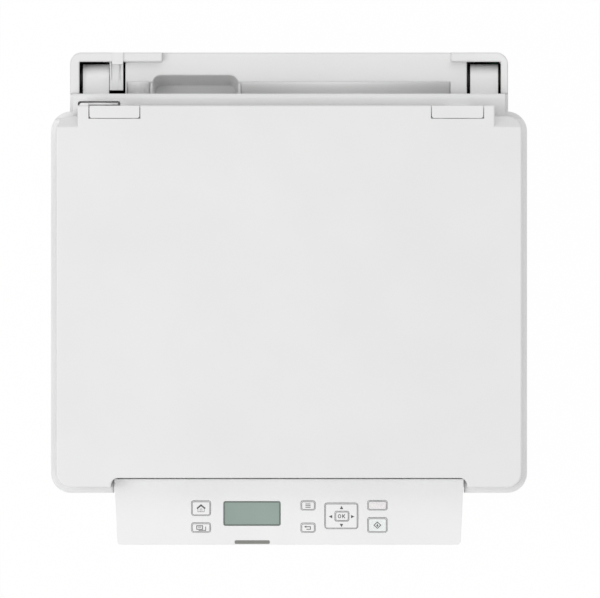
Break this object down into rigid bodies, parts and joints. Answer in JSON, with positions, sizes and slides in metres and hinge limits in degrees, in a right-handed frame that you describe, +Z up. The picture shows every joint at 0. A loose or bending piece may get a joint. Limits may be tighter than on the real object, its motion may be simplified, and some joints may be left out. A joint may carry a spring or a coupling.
{
  "type": "laser multifunction printer",
  "caption": "Compact laser printer with a flatbed scanner on top: hinged lid, lifting scanner unit, front control panel, fold-down paper tray and rear door.",
  "frame": {"origin": "middle of the footprint, on the surface the feet stand on", "axes": "+X to the right seen from the front, -Y towards the front and the control panel, +Z up"},
  "size_m": [0.372, 0.385, 0.255],
  "materials": {
    "casing_white": "fine textured",
    "lid_white": "fine textured",
    "inner_grey": "matt",
    "black_plastic": "matt",
    "steel": "zinc plated sheet",
    "rubber": "matt",
    "drum_green": "coated",
    "gear_white": "acetal",
    "glass": "clear",
    "display": "grey green",
    "light_pipe": "smooth",
    "board_green": "solder mask",
    "backing_white": "smooth film on foam",
    "key_white": "smooth"
  },
  "bodies": {
    "body": {"base_pan": "inner_grey", "left_cover": "casing_white", "right_cover": "casing_white", "feet": "rubber", "front_frame": "casing_white", "side_frames": "steel", "rear_top_cover": "casing_white", "separation_pad": "rubber", "toner_cartridge": "black_plastic", "fuser_frame": "inner_grey", "laser_unit": "black_plastic", "drive_motor": "steel", "main_board": "board_green", "power_supply": "board_green", "hinge_brackets": "steel", "cable_guide": "casing_white"},
    "front_cover": {"front_cover": "casing_white"},
    "tray_extension": {"tray_extension": "inner_grey"},
    "left_guide": {"left_paper_guide": "inner_grey"},
    "right_guide": {"right_paper_guide": "inner_grey"},
    "guide_pinion": {"guide_pinion": "gear_white"},
    "lift_plate": {"lift_plate": "steel"},
    "pickup": {"pickup_roller": "rubber"},
    "feed": {"feed_roller": "rubber"},
    "transfer": {"transfer_roller": "rubber"},
    "drum": {"drum": "drum_green"},
    "pressure": {"pressure_roller": "rubber"},
    "heat": {"heat_roller": "steel"},
    "exit": {"exit_roller": "rubber"},
    "motor_pinion": {"motor_pinion": "gear_white"},
    "fuser_idler": {"fuser_idler_gear": "gear_white"},
    "feed_idler": {"feed_idler_gear": "gear_white"},
    "tray_cover": {"tray_cover": "casing_white"},
    "paper_stop": {"paper_stop": "casing_white"},
    "rear_cover": {"rear_cover": "casing_white"},
    "power_button": {"power_button": "key_white"},
    "scanner": {"scanner_base": "casing_white", "scanner_top_frame": "casing_white", "platen_glass": "glass", "scan_belt": "rubber", "hinge_arms": "casing_white", "panel_housing": "lid_white", "panel_board": "board_green", "display": "display", "light_bar": "light_pipe"},
    "carriage": {"sensor_carriage": "black_plastic"},
    "drive_pulley": {"drive_pulley": "gear_white"},
    "idler_pulley": {"idler_pulley": "gear_white"},
    "lid_posts": {"lid_hinge_posts": "casing_white"},
    "lid": {"lid_cover": "lid_white", "lid_backing": "backing_white", "lid_hinge_leaves": "lid_white"},
    "home_key": {"home_key": "key_white"},
    "copy_key": {"copy_key": "key_white"},
    "menu_key": {"menu_key": "key_white"},
    "back_key": {"back_key": "key_white"},
    "stop_key": {"stop_key": "key_white"},
    "start_key": {"start_key": "key_white"},
    "direction_pad": {"direction_pad": "key_white"},
    "ok_key": {"ok_key": "key_white"}
  },
  "joints": [
    {"name": "scanner_lift", "type": "hinge", "parent": "body", "child": "scanner", "pos_m": [0, 0.172, 0.1785], "axis": [-1, 0, 0], "range_deg": [0, 45]},
    {"name": "lid_raise", "type": "slide", "parent": "scanner", "child": "lid_posts", "axis": [0, 0, 1], "range_m": [0, 0.012]},
    {"name": "lid_open", "type": "hinge", "parent": "lid_posts", "child": "lid", "pos_m": [0, 0.1455, 0.233], "axis": [-1, 0, 0], "range_deg": [0, 75]},
    {"name": "carriage_slide", "type": "slide", "parent": "scanner", "child": "carriage", "axis": [1, 0, 0], "range_m": [0, 0.268]},
    {"name": "drive_pulley_spin", "type": "hinge", "parent": "scanner", "child": "drive_pulley", "pos_m": [-0.16, 0.024, 0.205], "axis": [0, 0, 1], "continuous": true},
    {"name": "idler_pulley_spin", "type": "hinge", "parent": "scanner", "child": "idler_pulley", "pos_m": [0.16, 0.024, 0.205], "axis": [0, 0, 1], "continuous": true},
    {"name": "front_cover_open", "type": "hinge", "parent": "body", "child": "front_cover", "pos_m": [0, -0.1446, 0.012], "axis": [1, 0, 0], "range_deg": [0, 88]},
    {"name": "extension_slide", "type": "slide", "parent": "front_cover", "child": "tray_extension", "axis": [0, 0, 1], "range_m": [0, 0.048]},
    {"name": "left_guide_slide", "type": "slide", "parent": "body", "child": "left_guide", "axis": [1, 0, 0], "range_m": [0, 0.05]},
    {"name": "right_guide_slide", "type": "slide", "parent": "body", "child": "right_guide", "axis": [-1, 0, 0], "range_m": [0, 0.05]},
    {"name": "guide_pinion_spin", "type": "hinge", "parent": "body", "child": "guide_pinion", "pos_m": [0, -0.114, 0.0095], "axis": [0, 0, 1], "continuous": true},
    {"name": "lift_plate_tilt", "type": "hinge", "parent": "body", "child": "lift_plate", "pos_m": [0, -0.0875, 0.019], "axis": [1, 0, 0], "range_deg": [0, 20]},
    {"name": "drum_spin", "type": "hinge", "parent": "body", "child": "drum", "pos_m": [0, 0.06, 0.07], "axis": [1, 0, 0], "continuous": true},
    {"name": "pickup_spin", "type": "hinge", "parent": "body", "child": "pickup", "pos_m": [0, -0.03, 0.062], "axis": [1, 0, 0], "continuous": true},
    {"name": "feed_spin", "type": "hinge", "parent": "body", "child": "feed", "pos_m": [0, 0.01, 0.05], "axis": [1, 0, 0], "continuous": true},
    {"name": "transfer_spin", "type": "hinge", "parent": "body", "child": "transfer", "pos_m": [0, 0.06, 0.0516], "axis": [1, 0, 0], "continuous": true},
    {"name": "pressure_spin", "type": "hinge", "parent": "body", "child": "pressure", "pos_m": [0, 0.14, 0.0576], "axis": [1, 0, 0], "continuous": true},
    {"name": "heat_spin", "type": "hinge", "parent": "body", "child": "heat", "pos_m": [0, 0.14, 0.078], "axis": [1, 0, 0], "continuous": true},
    {"name": "exit_spin", "type": "hinge", "parent": "body", "child": "exit", "pos_m": [0, 0.13, 0.152], "axis": [1, 0, 0], "continuous": true},
    {"name": "motor_pinion_spin", "type": "hinge", "parent": "body", "child": "motor_pinion", "pos_m": [0, 0.05548, 0.0956], "axis": [1, 0, 0], "continuous": true},
    {"name": "fuser_idler_spin", "type": "hinge", "parent": "body", "child": "fuser_idler", "pos_m": [0, 0.10087, 0.0863], "axis": [1, 0, 0], "continuous": true},
    {"name": "feed_idler_spin", "type": "hinge", "parent": "body", "child": "feed_idler", "pos_m": [0, 0.01145, 0.08195], "axis": [1, 0, 0], "continuous": true},
    {"name": "tray_cover_open", "type": "hinge", "parent": "body", "child": "tray_cover", "pos_m": [0, 0.114, 0.145], "axis": [-1, 0, 0], "range_deg": [0, 36]},
    {"name": "paper_stop_flip", "type": "hinge", "parent": "tray_cover", "child": "paper_stop", "pos_m": [0, -0.1335, 0.148], "axis": [1, 0, 0], "range_deg": [0, 80]},
    {"name": "rear_cover_open", "type": "hinge", "parent": "body", "child": "rear_cover", "pos_m": [0, 0.189, 0.029], "axis": [-1, 0, 0], "range_deg": [0, 85]},
    {"name": "power_button_press", "type": "slide", "parent": "body", "child": "power_button", "axis": [0, 1, 0], "range_m": [0, 0.0015], "stiffness_N_per_m": 300},
    {"name": "home_key_press", "type": "slide", "parent": "scanner", "child": "home_key", "axis": [0, 0.1541, -0.9881], "range_m": [0, 0.0012], "stiffness_N_per_m": 300, "springref_m": -0.0006},
    {"name": "copy_key_press", "type": "slide", "parent": "scanner", "child": "copy_key", "axis": [0, 0.1541, -0.9881], "range_m": [0, 0.0012], "stiffness_N_per_m": 300, "springref_m": -0.0006},
    {"name": "menu_key_press", "type": "slide", "parent": "scanner", "child": "menu_key", "axis": [0, 0.1541, -0.9881], "range_m": [0, 0.0012], "stiffness_N_per_m": 300, "springref_m": -0.0006},
    {"name": "back_key_press", "type": "slide", "parent": "scanner", "child": "back_key", "axis": [0, 0.1541, -0.9881], "range_m": [0, 0.0012], "stiffness_N_per_m": 300, "springref_m": -0.0006},
    {"name": "stop_key_press", "type": "slide", "parent": "scanner", "child": "stop_key", "axis": [0, 0.1541, -0.9881], "range_m": [0, 0.0012], "stiffness_N_per_m": 300, "springref_m": -0.0006},
    {"name": "start_key_press", "type": "slide", "parent": "scanner", "child": "start_key", "axis": [0, 0.1541, -0.9881], "range_m": [0, 0.0012], "stiffness_N_per_m": 300, "springref_m": -0.0006},
    {"name": "direction_pad_press", "type": "slide", "parent": "scanner", "child": "direction_pad", "axis": [0, 0.1541, -0.9881], "range_m": [0, 0.0012], "stiffness_N_per_m": 300, "springref_m": -0.0006},
    {"name": "ok_key_press", "type": "slide", "parent": "scanner", "child": "ok_key", "axis": [0, 0.1541, -0.9881], "range_m": [0, 0.0012], "stiffness_N_per_m": 300, "springref_m": -0.0006}
  ],
  "couplings": [
    {"joint": "drive_pulley_spin", "follows": "carriage_slide", "rad_per_m": 181.82},
    {"joint": "idler_pulley_spin", "follows": "carriage_slide", "rad_per_m": 181.82},
    {"joint": "extension_slide", "follows": "front_cover_open", "m_per_rad": 0.031252},
    {"joint": "right_guide_slide", "follows": "left_guide_slide", "ratio": 1},
    {"joint": "guide_pinion_spin", "follows": "left_guide_slide", "rad_per_m": 200},
    {"joint": "tray_cover_open", "follows": "scanner_lift", "ratio": 0.8},
    {"joint": "motor_pinion_spin", "follows": "drum_spin", "ratio": -3.3333},
    {"joint": "fuser_idler_spin", "follows": "drum_spin", "ratio": -0.83333},
    {"joint": "feed_idler_spin", "follows": "drum_spin", "ratio": -0.66667},
    {"joint": "heat_spin", "follows": "drum_spin", "ratio": 1.25},
    {"joint": "pressure_spin", "follows": "drum_spin", "ratio": -1.25},
    {"joint": "pickup_spin", "follows": "drum_spin", "ratio": 1.25},
    {"joint": "feed_spin", "follows": "drum_spin", "ratio": -3.5},
    {"joint": "transfer_spin", "follows": "drum_spin", "ratio": -2},
    {"joint": "exit_spin", "follows": "drum_spin", "ratio": 2.5}
  ]
}
